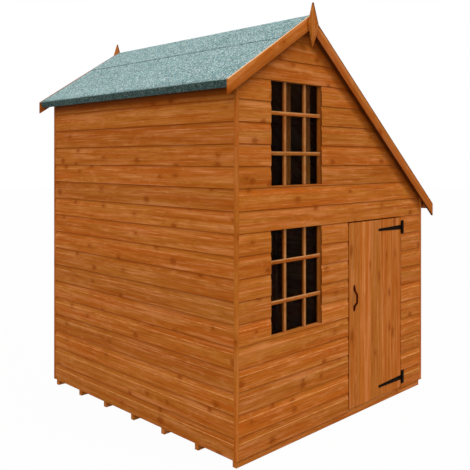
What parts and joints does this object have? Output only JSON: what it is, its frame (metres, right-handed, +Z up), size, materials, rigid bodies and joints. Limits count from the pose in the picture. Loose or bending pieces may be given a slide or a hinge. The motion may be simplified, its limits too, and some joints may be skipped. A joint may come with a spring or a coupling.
{
  "type": "garden shed",
  "caption": "Two-storey wooden playhouse shed with shiplap cladding, an uneven felted gable roof, spear finials, two pane windows and a boarded door on T hinges.",
  "frame": {"origin": "on the ground, under the middle of the floor, on the underside of the middle bearer", "axes": "+X right along the front, +Y to the back, +Z up"},
  "size_m": [2.002, 1.918, 2.448],
  "materials": {
    "stained_timber": "satin",
    "inside_timber": "matte",
    "roof_felt": "matte",
    "window_glass": "gloss",
    "black_hinge": "satin",
    "dark_handle": "satin"
  },
  "bodies": {
    "house": {"back_wall_cladding": "stained_timber", "back_wall_plate": "inside_timber", "back_wall_studs": "inside_timber", "barge_board_back_left": "stained_timber", "barge_board_back_right": "stained_timber", "barge_board_front_left": "stained_timber", "barge_board_front_right": "stained_timber", "corner_strip_back_left": "stained_timber", "corner_strip_back_right": "stained_timber", "corner_strip_front_left": "stained_timber", "corner_strip_front_right": "stained_timber", "door_stops": "inside_timber", "eaves_rails": "inside_timber", "felt_left": "roof_felt", "felt_ridge": "roof_felt", "felt_right": "roof_felt", "finial_back": "stained_timber", "finial_front": "stained_timber", "floor_bearers": "stained_timber", "floor_boards": "inside_timber", "front_wall_beside_door": "stained_timber", "front_wall_over_door": "stained_timber", "front_wall_rails": "inside_timber", "front_wall_studs": "inside_timber", "front_wall_window_side": "stained_timber", "gable_rafters": "inside_timber", "hinge_plates": "black_hinge", "left_wall_cladding": "stained_timber", "loft_boards": "inside_timber", "loft_joists": "inside_timber", "loft_ledgers": "inside_timber", "lower_window_glass": "window_glass", "ridge_beam": "inside_timber", "right_wall_cladding": "stained_timber", "roof_boards_left": "inside_timber", "roof_boards_right": "inside_timber", "roof_purlins": "inside_timber", "side_wall_plates": "inside_timber", "side_wall_studs": "inside_timber", "upper_window_glass": "window_glass"},
    "door": {"door_boards": "stained_timber", "door_ledges": "stained_timber", "door_braces": "stained_timber", "hinge_straps": "black_hinge", "door_handle": "dark_handle"}
  },
  "joints": [
    {"name": "door_hinge", "type": "hinge", "parent": "house", "child": "door", "pos_m": [0.646, -0.908, 0.6165], "axis": [0, 0, 1], "range_deg": [0, 150]}
  ]
}
